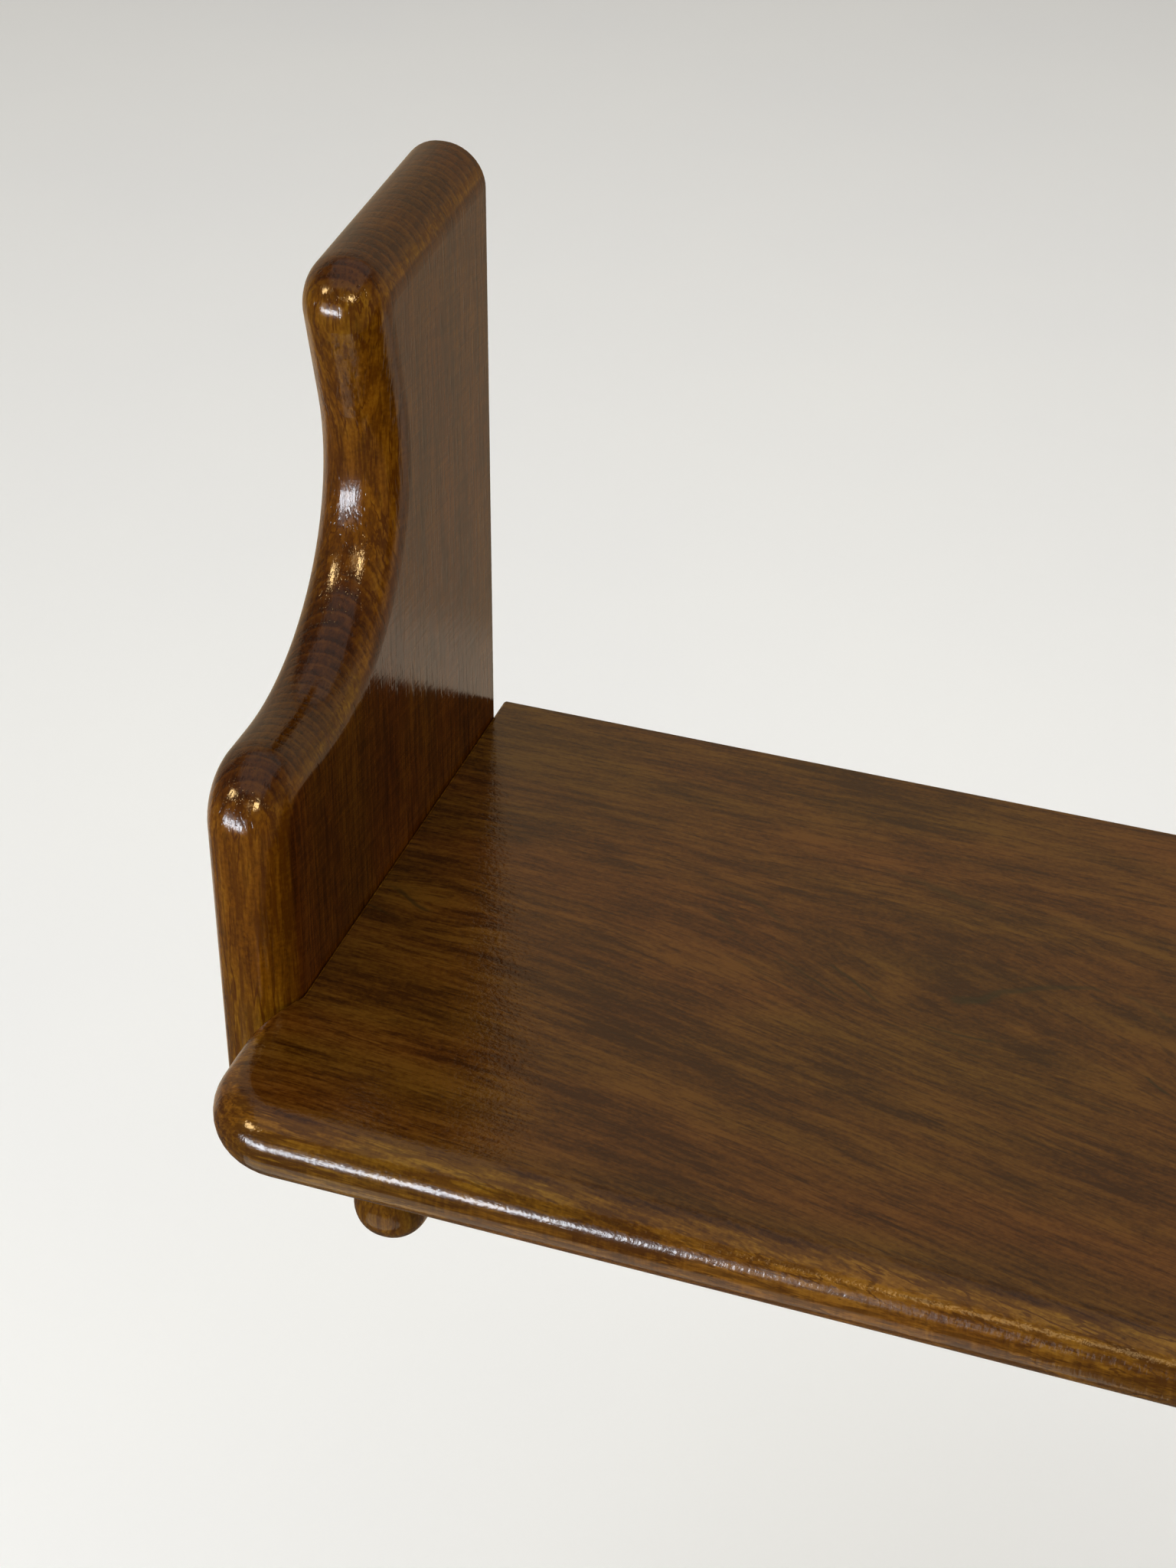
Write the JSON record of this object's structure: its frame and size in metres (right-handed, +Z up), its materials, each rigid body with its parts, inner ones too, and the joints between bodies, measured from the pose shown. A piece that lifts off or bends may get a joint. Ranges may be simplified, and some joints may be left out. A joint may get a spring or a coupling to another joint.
{
  "type": "wall shelf",
  "caption": "Oak wall shelf: a round-nosed board between stepped end panels with horns above and below, hung on keyhole plates.",
  "frame": {"origin": "middle of the board's back edge, in the plane of the wall", "axes": "+X along the shelf to the viewer's right, +Y into the wall, +Z up"},
  "size_m": [0.7636, 0.1935, 0.332],
  "materials": {
    "board_wood": "satin lacquer",
    "panel_wood": "satin lacquer",
    "plug_wood": "satin lacquer",
    "screw_steel": "zinc plated",
    "plate_brass": "brass plated",
    "plate_screw_brass": "brass plated"
  },
  "bodies": {
    "root": {"shelf_board": "board_wood", "left_end_panel": "panel_wood", "right_end_panel": "panel_wood", "left_joint_screws": "screw_steel", "right_joint_screws": "screw_steel", "left_screw_plugs": "plug_wood", "right_screw_plugs": "plug_wood", "left_keyhole_plate": "plate_brass", "right_keyhole_plate": "plate_brass", "left_plate_screws": "plate_screw_brass", "right_plate_screws": "plate_screw_brass"}
  },
  "joints": []
}
